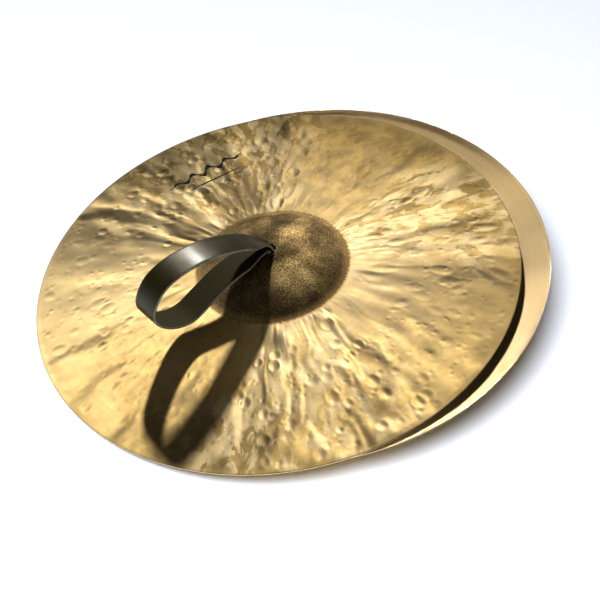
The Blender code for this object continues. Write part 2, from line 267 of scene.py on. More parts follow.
def bronze_outside(name, seed, place, polish_and_highlight_amount):
    n = Nodes(name)
    where, split, radius, unit = polar(n)
    shifted = n.vec("ADD", where, (seed, seed * 0.37, 0.0))
    # Lathe grooves: fine rings whose depth changes from place to place.
    ring = n.noise(None, 1.0, 2.0, 0.6, dims="1D", w=n.math("MULTIPLY", radius, 1500.0))
    ring_wide = n.noise(None, 1.0, 1.0, 0.5, dims="1D", w=n.math("MULTIPLY", radius, 260.0))
    patch = n.noise(shifted, 22.0, 3.0, 0.55)
    fine = n.noise(shifted, 900.0, 2.0, 0.6)
    # The lathed bow.
    bow = n.mix(
        n.math("MULTIPLY", patch, 1.0),
        (0.715, 0.485, 0.155), (0.810, 0.568, 0.208),
    )
    bow = n.mix(n.span(ring_wide, 0.35, 0.7, 0.0, 0.30), bow, (0.620, 0.405, 0.125))
    tarnish = n.span(n.noise(shifted, 60.0, 5.0, 0.62), 0.56, 0.72, 0.0, 0.40)
    bow = n.mix(tarnish, bow, (0.480, 0.300, 0.085))
    # Painted shade: the side towards 64 degrees is darker, and has a thinner clear coat, standing in for light that
    # falls off there.
    turned = n.vec("DOT_PRODUCT", unit, (math.cos(math.radians(64)), math.sin(math.radians(64)), 0.0))
    cloudy = n.noise(shifted, 26.0, 3.0, 0.6)
    painted_shade_top = n.span(n.math("ADD", turned, n.math("MULTIPLY", n.math("SUBTRACT", cloudy, 0.5), 0.9)), -0.05, 0.75, 0.0, 0.92)
    bow = n.mix(painted_shade_top, bow, (0.350, 0.226, 0.058))
    # Painted shade low on the right of the bow, away from the bell.
    painted_shade_right_low = n.vec("DOT_PRODUCT", unit, (math.cos(math.radians(-30)), math.sin(math.radians(-30)), 0.0))
    painted_shade_right_low = n.math("ADD", painted_shade_right_low, n.math("MULTIPLY", n.math("SUBTRACT", cloudy, 0.5), 0.25))
    bow = n.mix(n.math("MULTIPLY", n.span(painted_shade_right_low, 0.86, 1.0), n.span(radius, 0.085, 0.14, 0.0, 0.80)), bow, (0.360, 0.240, 0.078))
    # Painted highlight on the left of the bow, away from the bell.
    painted_highlight_left = n.vec("DOT_PRODUCT", unit, (math.cos(math.radians(154)), math.sin(math.radians(154)), 0.0))
    painted_highlight_left = n.math("ADD", painted_highlight_left, n.math("MULTIPLY", n.math("SUBTRACT", cloudy, 0.5), 0.3))
    bow = n.mix(n.math("MULTIPLY", n.span(painted_highlight_left, 0.72, 0.98), n.span(radius, 0.085, 0.13, 0.0, 0.60)), bow, (0.930, 0.740, 0.400))
    # Painted shade on the side towards 188 degrees.
    painted_shade_west = n.vec("DOT_PRODUCT", unit, (math.cos(math.radians(188)), math.sin(math.radians(188)), 0.0))
    painted_shade_west = n.math("ADD", painted_shade_west, n.math("MULTIPLY", n.math("SUBTRACT", cloudy, 0.5), 0.2))
    bow = n.mix(n.span(painted_shade_west, 0.84, 1.0, 0.0, 0.55), bow, (0.470, 0.335, 0.145))
    # Painted shade on the outer bow towards the lower left.
    painted_shade_lower_left = n.vec("DOT_PRODUCT", unit, (math.cos(math.radians(-123)), math.sin(math.radians(-123)), 0.0))
    painted_shade_lower_left = n.math("ADD", painted_shade_lower_left, n.math("MULTIPLY", n.math("SUBTRACT", cloudy, 0.5), 0.22))
    bow = n.mix(n.math("MULTIPLY", n.span(painted_shade_lower_left, 0.90, 1.0), n.span(radius, 0.120, 0.190, 0.0, 0.82)), bow, (0.200, 0.130, 0.040))
    # Brighter patches with ragged edges, drawn out along the radius: partly polish, mostly painted highlights in three
    # fans where the lamp's reflection falls.
    drawn = n.vec("ADD", n.vec("SCALE", unit, 7.5), n.vec("SCALE", shifted, 34.0))
    flame = n.noise(drawn, 1.0, 5.0, 0.62, 0.9)
    ragged = n.math("MULTIPLY", n.math("SUBTRACT", n.noise(shifted, 30.0, 4.0, 0.6), 0.5), 0.5)
    highlight_fans = None
    for middle_deg, half_deg in ((98, 27), (-93, 25), (4, 15)):
        towards = (math.cos(math.radians(middle_deg)), math.sin(math.radians(middle_deg)), 0.0)
        inside = n.span(
            n.math("ADD", n.vec("DOT_PRODUCT", unit, towards), ragged),
            math.cos(math.radians(half_deg + 13)), math.cos(math.radians(half_deg - 10)),
        )
        highlight_fans = inside if highlight_fans is None else n.math("MAXIMUM", highlight_fans, inside)
    polish_and_highlight = n.span(n.math("ADD", flame, n.math("MULTIPLY", n.noise(shifted, 13.0, 2.0, 0.5), 0.35)), 0.63, 0.70)
    polish_and_highlight = n.math("MULTIPLY", polish_and_highlight, n.math("ADD", n.math("MULTIPLY", highlight_fans, polish_and_highlight_amount), 0.1 * polish_and_highlight_amount))
    bow = n.mix(polish_and_highlight, bow, (0.980, 0.780, 0.420))
    # The bell as it came from the oven: dark brown, with bronze showing through in worn streaks, and two spots
    # brightened as painted highlights of the lamp.
    direction = n.vec("SCALE", unit, n.math("MULTIPLY", radius, 130.0))
    streaky = n.vec("ADD", n.vec("SCALE", shifted, 760.0), direction)
    scratch = n.noise(streaky, 1.0, 3.0, 0.62, 0.6)
    cloud = n.noise(shifted, 42.0, 4.0, 0.6)

    def highlight_spot_at(x, y, size):
        away = n.vec("LENGTH", n.vec("SUBTRACT", where, (x, y, 0.0423)))
        return n.math("SUBTRACT", 1.0, n.span(away, size * 0.3, size))

    # Painted highlights: the two spots lift the bronze that shows through, the second much more strongly.
    worn = n.math("MAXIMUM", n.math("MULTIPLY", highlight_spot_at(*BELL_HIGHLIGHT_SPOTS[0]), 0.35), n.math("MULTIPLY", highlight_spot_at(*BELL_HIGHLIGHT_SPOTS[1]), 1.2))
    level = n.math("ADD", n.math("MULTIPLY", n.math("SUBTRACT", cloud, 0.5), 0.75), n.math("MULTIPLY", worn, 0.16))
    shown = n.span(n.math("ADD", n.math("MULTIPLY", scratch, 1.15), level), 0.42, 1.02)
    bell = n.mix(shown, (0.066, 0.039, 0.012), (0.470, 0.312, 0.108))
    # Painted highlight: pale gold at the second spot.
    bell = n.mix(n.math("MULTIPLY", n.math("MULTIPLY", highlight_spot_at(*BELL_HIGHLIGHT_SPOTS[1]), n.span(scratch, 0.44, 0.62)), 0.85), bell, (0.900, 0.640, 0.270))
    # Ragged edge of the turned part at the foot of the bell.
    teeth = n.noise(n.vec("SCALE", unit, 1.0), 46.0, 3.0, 0.7)
    teeth_fine = n.noise(n.vec("SCALE", unit, 1.0), 150.0, 2.0, 0.7)
    edge = n.math("ADD", n.math("MULTIPLY", n.math("SUBTRACT", teeth, 0.5), 0.006), 0.0722)
    edge = n.math("ADD", edge, n.math("MULTIPLY", n.math("SUBTRACT", teeth_fine, 0.5), 0.009))
    over = n.math("SUBTRACT", radius, edge)
    is_bow = n.span(over, -0.0006, 0.0006)
    band = n.span(radius, 0.0640, 0.0700)
    bell = n.mix(n.math("MULTIPLY", band, 0.55), bell, (0.400, 0.250, 0.085))
    colour = n.mix(is_bow, bell, bow)
    rough_bow = n.span(n.noise(shifted, 60.0, 3.0, 0.6), 0.3, 0.7, 0.51, 0.58)
    rough_bell = n.span(shown, 0.0, 1.0, 0.62, 0.46)
    rough = n.math(
        "ADD",
        n.math("MULTIPLY", rough_bow, is_bow),
        n.math("MULTIPLY", rough_bell, n.math("SUBTRACT", 1.0, is_bow)),
    )
    metal = n.span(is_bow, 0.0, 1.0, 0.80, 1.0)
    height = n.math(
        "ADD",
        n.math("MULTIPLY", n.math("MULTIPLY", ring, is_bow), 0.5),
        n.math("MULTIPLY", n.math("MULTIPLY", scratch, n.math("SUBTRACT", 1.0, is_bow)), 1.6),
    )
    height = n.math("ADD", height, n.math("MULTIPLY", fine, 0.10))
    normal = n.bump(height, 0.35, 0.00006)
    tangent = radial_tangent(n, split, place)
    n.shader(
        Base_Color=colour, Metallic=metal, Roughness=rough, Normal=normal,
        Anisotropic=0.9, Tangent=tangent,
        Coat_Weight=n.math("MULTIPLY", is_bow, n.math("SUBTRACT", 0.8, n.math("MULTIPLY", painted_shade_top, 0.55))), Coat_Roughness=0.42, Coat_IOR=1.6,
    )
    return n.mat


def bronze_inside(name, seed, place, metallic, painted_shade_low=None, painted_shade_rim=None):
    n = Nodes(name)
    where, split, radius, unit = polar(n)
    shifted = n.vec("ADD", where, (seed, seed * 0.61, 0.0))
    ring = n.noise(None, 1.0, 2.0, 0.6, dims="1D", w=n.math("MULTIPLY", radius, 1300.0))
    ring_wide = n.noise(None, 1.0, 2.0, 0.6, dims="1D", w=n.math("MULTIPLY", radius, 230.0))
    patch = n.noise(shifted, 14.0, 3.0, 0.5)
    bow = n.mix(patch, (0.400, 0.285, 0.120), (0.460, 0.335, 0.155))
    bow = n.mix(n.span(ring_wide, 0.4, 0.75, 0.0, 0.35), bow, (0.330, 0.225, 0.085))
    # Painted shade on the rear plate's inside: darker low on the right, next to the front plate's rim, and darker
    # along the upper part of its rim.
    if painted_shade_low is not None:
        cloudy = n.math("MULTIPLY", n.math("SUBTRACT", n.noise(shifted, 26.0, 3.0, 0.6), 0.5), 0.12)
        low = n.math("ADD", n.vec("DOT_PRODUCT", unit, painted_shade_low), cloudy)
        bow = n.mix(n.span(low, 0.60, 0.97, 0.0, 0.80), bow, (0.215, 0.158, 0.082))
        rim = n.math("ADD", n.vec("DOT_PRODUCT", unit, painted_shade_rim), cloudy)
        outer = n.span(n.math("ADD", radius, n.math("MULTIPLY", cloudy, 0.03)), 0.2185, 0.2235)
        bow = n.mix(n.math("MULTIPLY", n.span(rim, 0.35, 0.80, 0.0, 0.85), outer), bow, (0.110, 0.070, 0.026))
    streaks = n.noise(n.vec("ADD", n.vec("SCALE", shifted, 300.0), n.vec("SCALE", unit, 9.0)), 1.0, 3.0, 0.6)
    raw = n.mix(n.span(streaks, 0.35, 0.75), (0.085, 0.052, 0.020), (0.360, 0.235, 0.090))
    is_bow = n.span(radius, 0.0655, 0.0675)
    colour = n.mix(is_bow, raw, bow)
    rough = n.span(is_bow, 0.0, 1.0, 0.55, 0.48)
    normal = n.bump(n.math("MULTIPLY", ring, 0.5), 0.3, 0.00006)
    tangent = radial_tangent(n, split, place)
    n.shader(
        Base_Color=colour, Metallic=n.span(is_bow, 0.0, 1.0, 0.85, metallic), Roughness=rough,
        Normal=normal, Anisotropic=0.8, Tangent=tangent,
    )
    return n.mat


def bronze_edge(name):
    n = Nodes(name)
    where = n.new("TexCoord").outputs["Object"]
    grain = n.noise(where, 1200.0, 2.0, 0.6)
    wide = n.noise(where, 60.0, 2.0, 0.6)
    n.shader(
        Base_Color=n.mix(wide, (0.74, 0.55, 0.26), (0.86, 0.68, 0.38)),
        Metallic=1.0,
        Roughness=n.span(grain, 0.3, 0.7, 0.20, 0.32),
        Normal=n.bump(grain, 0.2, 0.00003),
    )
    return n.mat


# ---------------------------------------------------------------- leather
def leather_face(name, colour_a, colour_b, rough_low, rough_high, grain, depth, seed, coat=0.0):
    n = Nodes(name)
    where = n.vec("ADD", n.new("TexCoord").outputs["Object"], (seed, 0.0, seed))
    cells = n.voronoi(where, grain, "DISTANCE_TO_EDGE")
    pores = n.voronoi(where, grain * 2.6)
    cloud = n.noise(where, 40.0, 4.0, 0.6)
    fibre = n.noise(where, 700.0, 4.0, 0.65)
    colour = n.mix(cloud, (*colour_a, 1.0), (*colour_b, 1.0))
    colour = n.mix(n.span(fibre, 0.5, 0.8, 0.0, 0.35), colour, tuple(1.7 * c for c in colour_b))
    rough = n.span(n.math("ADD", cloud, n.math("MULTIPLY", fibre, 0.5)), 0.4, 1.1, rough_low, rough_high)
    height = n.math("ADD", n.span(cells, 0.0, 0.16), n.math("MULTIPLY", pores, 0.35))
    height = n.math("ADD", height, n.math("MULTIPLY", fibre, 0.5))
    normal = n.bump(height, 0.5, depth)
    n.shader(
        Base_Color=colour, Roughness=rough, Normal=normal, Coat_Weight=coat,
        Coat_Roughness=0.18, Specular_IOR_Level=0.24, Specular_Tint=(1.0, 0.90, 0.62),
        Coat_Tint=(1.0, 0.95, 0.84),
    )
    return n.mat


def leather_edge(name):
    n = Nodes(name)
    where = n.new("TexCoord").outputs["Object"]
    fibre = n.noise(where, 1500.0, 4.0, 0.7)
    wide = n.noise(where, 120.0, 3.0, 0.6)
    colour = n.mix(n.span(fibre, 0.3, 0.7), (0.230, 0.210, 0.140), (0.520, 0.490, 0.340))
    colour = n.mix(n.span(wide, 0.45, 0.75, 0.0, 0.55), colour, (0.110, 0.098, 0.065))
    n.shader(
        Base_Color=colour, Roughness=n.span(fibre, 0.3, 0.7, 0.55, 0.8),
        Normal=n.bump(fibre, 0.6, 0.00012),
    )
    return n.mat


M_OUT_F = bronze_outside("bronze_outside_front", 0.31, FRONT, 0.50)
M_OUT_R = bronze_outside("bronze_outside_rear", 1.73, REAR, 0.20)
M_IN_F = bronze_inside("bronze_inside_front", 0.87, FRONT, 1.0)


def seen_from_front(degrees):
    """The rear plate's own direction that points the same way as this angle on the front plate."""
    angle = math.radians(degrees)
    world = FRONT.to_3x3() @ Vector((math.cos(angle), math.sin(angle), 0.0))
    own = REAR.to_3x3().inverted() @ world
    own.z = 0.0
    return tuple(own.normalized())


# The rear plate's inside takes painted shade low on the right and along its upper rim.
M_IN_R = bronze_inside("bronze_inside_rear", 2.41, REAR, 0.86, seen_from_front(-38), seen_from_front(78))
M_RIM = bronze_edge("bronze_edge")
M_GRAIN = leather_face("leather_grain_side", (0.022, 0.017, 0.004), (0.044, 0.035, 0.008), 0.30, 0.42, 900.0, 0.00006, 0.3, 0.06)
M_FLESH = leather_face("leather_flesh_side", (0.034, 0.029, 0.009), (0.058, 0.050, 0.017), 0.66, 0.82, 1400.0, 0.00010, 0.9)
M_CUT = leather_edge("leather_cut_edge")


# ---------------------------------------------------------------- relief of the hammered bronze
CELL = 0.0005
HALF = 0.2300
SIZE = int(2 * HALF / CELL) + 1


def periodic_noise(rng, shape, width):
    """White noise smoothed by a Gaussian of the given widths in cells, both axes periodic, scaled to unit spread."""
    white = rng.standard_normal(shape)
    fy = np.fft.fftfreq(shape[0])[:, None]
    fx = np.fft.rfftfreq(shape[1])[None, :]
    kernel = np.exp(-2 * (math.pi**2) * ((fy * width[0]) ** 2 + (fx * width[1]) ** 2))
    made = np.fft.irfft2(np.fft.rfft2(white) * kernel, s=shape)
    return made / made.std()


def sample(grid, x, y):
    """Bilinear reading of a height map that covers -HALF..HALF."""
    u = np.clip((x + HALF) / CELL, 0, grid.shape[1] - 1.001)
    v = np.clip((y + HALF) / CELL, 0, grid.shape[0] - 1.001)
    i, j = u.astype(int), v.astype(int)
    a, b = u - i, v - j
    return (
        grid[j, i] * (1 - a) * (1 - b) + grid[j, i + 1] * a * (1 - b)
        + grid[j + 1, i] * (1 - a) * b + grid[j + 1, i + 1] * a * b
    )


def stamp(grid, x, y, radius, depth, stretch, angle, rim):
    """One hammer mark: a shallow cup with a raised lip, longer along its angle."""
    reach = radius * max(stretch, 1.0) * 1.6
    i0, i1 = int((x - reach + HALF) / CELL), int((x + reach + HALF) / CELL) + 1
    j0, j1 = int((y - reach + HALF) / CELL), int((y + reach + HALF) / CELL) + 1
    i0, j0 = max(i0, 0), max(j0, 0)
    i1, j1 = min(i1, SIZE - 1), min(j1, SIZE - 1)
    if i0 >= i1 or j0 >= j1:
        return
    gx = (np.arange(i0, i1) * CELL - HALF - x)[None, :]
    gy = (np.arange(j0, j1) * CELL - HALF - y)[:, None]
    c, s = math.cos(angle), math.sin(angle)
    p = (gx * c + gy * s) / stretch
    q = -gx * s + gy * c
    d = np.sqrt(p * p + q * q) / radius
    cup = -np.where(d < 1, (1 - d * d) ** 2 * (1 + 0.35 * d * d), 0.0)
    lip = np.exp(-(((d - 1.05) / 0.18) ** 2)) * rim
    grid[j0:j1, i0:i1] += depth * (cup + lip)


EASED = (0.026, -0.200)


def hammered(seed, crater_count, pit_count, crater_depth, pit_depth, fan, sectors):
    """Height maps in metres: the outside's relief, and the soft waves that the inside shares."""
    rng = np.random.default_rng(seed)
    axis = np.arange(SIZE) * CELL - HALF
    gx, gy = np.meshgrid(axis, axis)
    radius = np.hypot(gx, gy)
    angle = np.arctan2(gy, gx)
    grid = np.zeros((SIZE, SIZE))
    # Long soft waves that run outward, as the plate was hammered and rolled in sectors.
    turns, depth_cells = 1024, 256
    broad = periodic_noise(rng, (depth_cells, turns), (26, 15))
    middle = periodic_noise(rng, (depth_cells, turns), (13, 7.0))
    narrow = periodic_noise(rng, (depth_cells, turns), (7, 3.0))
    crinkle = periodic_noise(rng, (depth_cells, turns), (3.2, 1.9))
    u = (angle / (2 * math.pi) * turns) % turns
    v = np.clip(radius / R * depth_cells * 0.5, 0, depth_cells - 2)
    i, j = u.astype(int) % turns, v.astype(int)
    a, b = u - np.floor(u), v - j
    i2 = (i + 1) % turns
    warp_u = periodic_noise(rng, (depth_cells, turns), (7, 5.5))
    warp_v = periodic_noise(rng, (depth_cells, turns), (6, 5.0))

    def read(field):
        return (
            field[j, i] * (1 - a) * (1 - b) + field[j, i2] * a * (1 - b)
            + field[j + 1, i] * (1 - a) * b + field[j + 1, i2] * a * b
        )

    shift_u, shift_v = read(warp_u) * 4.5, read(warp_v) * 4.0
    u = (u + shift_u) % turns
    v = np.clip(v + shift_v, 0, depth_cells - 2)
    i, j = u.astype(int) % turns, v.astype(int)
    a, b = u - np.floor(u), v - j
    i2 = (i + 1) % turns
    # Some sectors were worked harder than others: (middle, half width) in degrees, and how hard.
    worked = np.full_like(radius, 0.10)
    for middle_deg, half_deg, amount in sectors:
        away = np.abs((np.degrees(angle) - middle_deg + 180) % 360 - 180)
        worked = np.maximum(worked, amount * (1 - smoothstep((away - half_deg * 0.75) / (half_deg * 0.5))))
    worked *= 0.75 + 0.25 * np.clip(read(broad[::-1]), -1.5, 1.5)
    worked = np.clip(worked, 0.08, 1.3)
    onset = smoothstep((radius - 0.072) / 0.02)
    reach = np.minimum(radius / 0.15, 1.2)
    waves = fan * onset * (read(broad) * 0.95 * reach + read(middle) * 0.58 * reach * worked)
    # One slope near the rim, low on the right, catches no light: it is eased.
    waves *= 1 - 0.85 * np.exp(-((gx - EASED[0]) ** 2 + (gy - EASED[1]) ** 2) / (2 * 0.030**2))
    grid += waves
    grid += fan * 0.20 * worked * read(narrow) * smoothstep((radius - 0.071) / 0.010) * reach**0.5
    near_bell = 1 - smoothstep((radius - 0.088) / 0.036)
    grid += fan * 0.085 * read(crinkle) * smoothstep((radius - 0.071) / 0.006) * (0.35 * worked + 0.65 * near_bell * np.clip(worked / 0.8, 0.35, 1.0))
    # Uneven dents some centimetres across.
    dents = periodic_noise(rng, (SIZE, SIZE), (13, 13))
    grid += 0.000170 * dents * onset * (0.2 + 0.8 * worked)
    dents = periodic_noise(rng, (SIZE, SIZE), (6, 6))
    grid += 0.000034 * dents * smoothstep((radius - 0.072) / 0.01) * worked
    # The bell keeps the broad dents it was forged with.
    dents = periodic_noise(rng, (SIZE, SIZE), (11, 11))
    grid += 0.00012 * dents * smoothstep((radius - 0.008) / 0.01) * (1 - smoothstep((radius - 0.060) / 0.008))
    # Hammer marks in loose rings.
    placed = []
    for _ in range(crater_count):
        for _ in range(12):
            r = math.sqrt(rng.uniform(0.082**2, 0.218**2))
            t = rng.uniform(0, 2 * math.pi)
            x, y = r * math.cos(t), r * math.sin(t)
            if all((x - px) ** 2 + (y - py) ** 2 > 0.0085**2 for px, py in placed):
                break
        placed.append((x, y))
        size = rng.uniform(0.0028, 0.0064)
        hard = float(sample(worked, np.array([x]), np.array([y]))[0])
        grid_depth = crater_depth * rng.uniform(0.35, 1.3) * (size / 0.006) * (0.30 + 1.00 * min(hard, 1.2))
        longer = rng.uniform(1.3, 2.4) if abs((t + math.pi) % (2 * math.pi) - math.pi) < 0.8 else rng.uniform(1.0, 1.5)
        stamp(grid, x, y, size, grid_depth, longer, t + rng.normal(0, 0.25), rng.uniform(0.08, 0.45))
    # Small pits, more of them towards the rim.
    for _ in range(pit_count):
        r = R * 0.985 * rng.uniform(0.36, 1.0) ** 0.55
        t = rng.uniform(0, 2 * math.pi)
        size = rng.uniform(0.0014, 0.0026)
        sign = 1.0 if rng.uniform() < 0.7 else -0.8
        stamp(grid, r * math.cos(t), r * math.sin(t), size, sign * pit_depth * rng.uniform(0.5, 1.2), 1.0, 0.0, 0.12)
    # Nothing moves at the rim, so that the outline stays round.
    calm = 1 - 0.9 * smoothstep((radius - 0.2235) / 0.005)
    return grid * calm, waves * calm


# ---------------------------------------------------------------- a plate's mesh
def stitch(faces, a0, na, b0, nb, mats, mat):
    """Faces between a ring of na points from index a0 and a ring of nb points from b0 (nb = k na or na = k nb)."""
    if na == nb:
        for i in range(na):
            k = (i + 1) % na
            faces.append((a0 + i, b0 + i, b0 + k, a0 + k))
            mats.append(mat)
        return
    if nb > na:
        k = nb // na
        for i in range(na):
            a, a2 = a0 + i, a0 + (i + 1) % na
            for s in range(k):
                p, q = b0 + i * k + s, b0 + (i * k + s + 1) % nb
                faces.append((a if s < (k + 1) // 2 else a2, p, q))
                mats.append(mat)
            faces.append((a, b0 + i * k + (k + 1) // 2, a2))
            mats.append(mat)
        return
    k = na // nb
    for i in range(nb):
        b, b2 = b0 + i, b0 + (i + 1) % nb
        for s in range(k):
            p, q = a0 + i * k + s, a0 + (i * k + s + 1) % na
            faces.append((p, b if s < (k + 1) // 2 else b2, q))
            mats.append(mat)
        faces.append((a0 + (i * k + (k + 1) // 2) % na, b, b2))
        mats.append(mat)


def make_plate(name, place, body, node, relief_out, relief_in, materials, dense_out):
    """The whole bronze plate as one closed mesh: outside, rounded rim, inside, edge of the hole."""
    rings = []  # (radius, z, count, material of the band that follows, relief map)
    big, mid, low = (720, 360, 180) if dense_out else (360, 360, 180)
    steps_bell = 34 if dense_out else 22
    for i in range(steps_bell + 1):
        r = HOLE + 0.0004 + (0.0655 - HOLE - 0.0004) * (i / steps_bell) ** 0.9
        rings.append((r, "out", low if r < 0.03 else mid))
    bow_rings = 104 if dense_out else 52
    for i in range(1, 9):
        rings.append((0.0655 + 0.0095 * i / 8, "out", mid))
    for i in range(1, bow_rings + 1):
        rings.append((0.0750 + (R - 0.00035 - 0.0750) * i / bow_rings, "out", big))
    out_count = len(rings)
    rings.append((R - 0.00008, "rim_a", big))
    rings.append((R, "rim_m", big))
    rings.append((R - 0.00008, "rim_b", big))
    in_rings = 40
    for i in range(in_rings + 1):
        r = (R - 0.00035) + (0.0750 - R + 0.00035) * i / in_rings
        rings.append((r, "in", big if i < 1 else mid))
    for i in range(1, 9):
        rings.append((0.0750 - 0.0095 * i / 8, "in", mid))
    for i in range(1, 15):
        r = 0.0655 + (HOLE + 0.0003 - 0.0655) * (i / 14)
        rings.append((r, "in", low))
    rings.append((HOLE, "hole_low", low))
    rings.append((HOLE, "hole_high", low))
    coords, starts = [], []
    total = 0
    for r, kind, count in rings:
        t = np.arange(count) * (2 * math.pi / count)
        x, y = r * np.cos(t), r * np.sin(t)
        if kind == "out":
            z = outer(r) + (sample(relief_out, x, y) if relief_out is not None else 0.0)
        elif kind == "in":
            z = inner(r) + (sample(relief_in, x, y) if relief_in is not None else 0.0)
        elif kind == "rim_a":
            z = outer(R) - 0.00012
        elif kind == "rim_m":
            z = outer(R) - T_RIM / 2
        elif kind == "rim_b":
            z = inner(R) + 0.00012
        elif kind == "hole_low":
            z = inner(HOLE) + 0.0003
        else:
            z = outer(HOLE) - 0.0004
        coords.append(np.stack([x, y, np.broadcast_to(z, x.shape)], 1))
        starts.append(total)
        total += count
    faces, mats = [], []
    for i in range(len(rings)):
        k = (i + 1) % len(rings)
        kind, following = rings[i][1], rings[k][1]
        if kind == "out" and following == "out":
            mat = 0
        elif kind == "in" and following == "in":
            mat = 1
        else:
            mat = 2
        stitch(faces, starts[i], rings[i][2], starts[k], rings[k][2], mats, mat)
    mesh = bpy.data.meshes.new(name)
    own = np.concatenate(coords)
    mesh.from_pydata(own.tolist(), [], faces)
    keep = mesh.attributes.new("own_place", "FLOAT_VECTOR", "POINT")
    keep.data.foreach_set("vector", own.astype(np.float32).ravel())
    mesh.transform(place)
    mesh.polygons.foreach_set("material_index", mats)
    for m in materials:
        mesh.materials.append(m)
    mesh.update()
    mesh.shade_smooth()
    mesh.set_sharp_from_angle(angle=math.radians(50))
    piece = bpy.data.objects.new(name, mesh)
    bpy.context.scene.collection.objects.link(piece)
    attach(piece, body)
    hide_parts(node)
    return piece


FRONT_SECTORS = ((-93, 28, 1.1), (0, 24, 0.34), (88, 34, 0.80), (128, 14, 0.9), (-168, 22, 0.50))
REAR_SECTORS = ((-60, 40, 0.6), (60, 40, 0.6), (180, 60, 0.7))
relief_front, waves_front = hammered(11, 300, 950, 0.00036, 0.00020, 0.00044, FRONT_SECTORS)
relief_rear, waves_rear = hammered(29, 300, 500, 0.00026, 0.00014, 0.00022, REAR_SECTORS)
front_plate = make_plate(
    "front_plate", FRONT, "front_cymbal", "front_cymbal",
    relief_front, waves_front, (M_OUT_F, M_IN_F, M_RIM), True,
)
rear_plate = make_plate(
    "rear_plate", REAR, "rear_cymbal", "rear_cymbal",
    relief_rear, waves_rear * 0.6, (M_OUT_R, M_IN_R, M_RIM), False,
)


# ---------------------------------------------------------------- leather straps
def catmull(points, per):
    p = np.array(points, float)
    ext = np.vstack([2 * p[0] - p[1], p, 2 * p[-1] - p[-2]])
    out = []
    for i in range(1, len(ext) - 2):
        for j in range(per):
            t = j / per
            a, b, c, d = ext[i - 1], ext[i], ext[i + 1], ext[i + 2]
            out.append(0.5 * (2 * b + (c - a) * t + (2 * a - 5 * b + 4 * c - d) * t * t + (3 * b - a - 3 * c + d) * t**3))
    out.append(p[-1])
    return np.array(out)


def resample(line, step):
    d = np.r_[0, np.cumsum(np.linalg.norm(np.diff(line, axis=0), axis=1))]
    s = np.linspace(0, d[-1], int(d[-1] / step) + 1)
    return np.stack([np.interp(s, d, line[:, k]) for k in range(line.shape[1])], 1), s


def section(width, thickness, crown=0.00012, corner=0.00045, across=14):
    """Points round a strap's cross-section: (across, through) and the surface each edge belongs to."""
    half, t = width / 2, thickness / 2
    pts, kinds = [], []
    for i in range(across + 1):  # grain side, from -half to +half
        u = -half + corner + (width - 2 * corner) * i / across
        pts.append((u, t + crown * (1 - (u / half) ** 2)))
        kinds.append("grain")
    kinds[-1] = "edge"
    pts.append((half - corner * 0.3, t - corner * 0.3)); kinds.append("edge")
    pts.append((half, t - corner)); kinds.append("edge")
    pts.append((half + 0.00003, 0.0)); kinds.append("edge")
    pts.append((half, -t + corner)); kinds.append("edge")
    pts.append((half - corner * 0.3, -t + corner * 0.3)); kinds.append("edge")
    for i in range(across + 1):
        u = half - corner - (width - 2 * corner) * i / across
        pts.append((u, -t))
        kinds.append("flesh")
    kinds[-1] = "edge"
    pts.append((-half + corner * 0.3, -t + corner * 0.3)); kinds.append("edge")
    pts.append((-half, -t + corner)); kinds.append("edge")
    pts.append((-half - 0.00003, 0.0)); kinds.append("edge")
    pts.append((-half, t - corner)); kinds.append("edge")
    pts.append((-half + corner * 0.3, t - corner * 0.3)); kinds.append("edge")
    return np.array(pts), kinds


SLOT_OF = {"grain": 0, "flesh": 1, "edge": 2}


